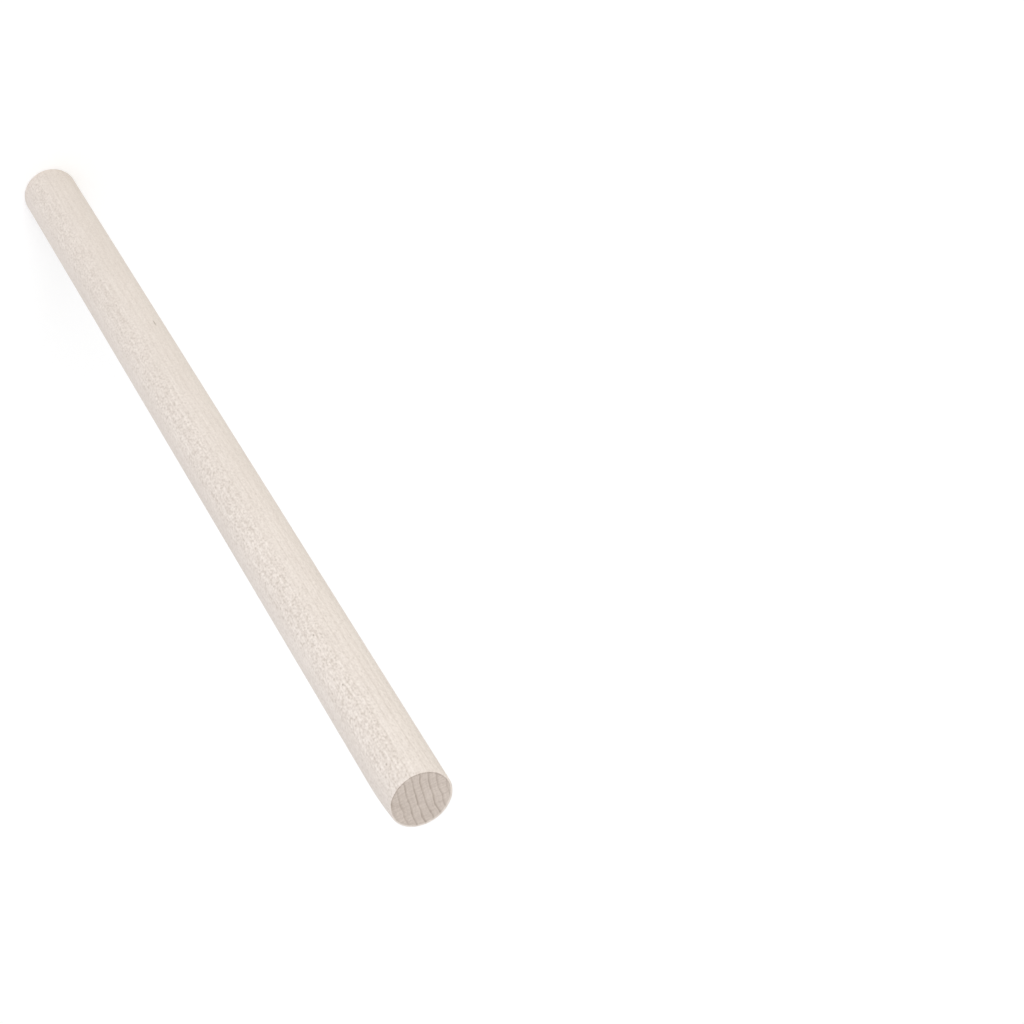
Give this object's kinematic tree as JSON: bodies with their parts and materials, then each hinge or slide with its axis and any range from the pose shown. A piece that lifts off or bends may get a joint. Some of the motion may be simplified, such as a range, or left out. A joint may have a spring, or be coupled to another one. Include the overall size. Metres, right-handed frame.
{
  "type": "wooden dowel rod",
  "caption": "Straight round wooden rod with plain square-sawn ends, for craft, shelving, pegs and light frames.",
  "frame": {"origin": "centre of the lower sawn end, on the surface that the rod stands on", "axes": "+Z along the rod's axis, from the lower end to the upper one; the rod is round, so X and Y are free"},
  "size_m": [0.015, 0.015, 0.3],
  "materials": {
    "raw_hardwood": "raw, sanded smooth, matt"
  },
  "bodies": {
    "root": {"dowel_rod": "raw_hardwood"}
  },
  "joints": []
}
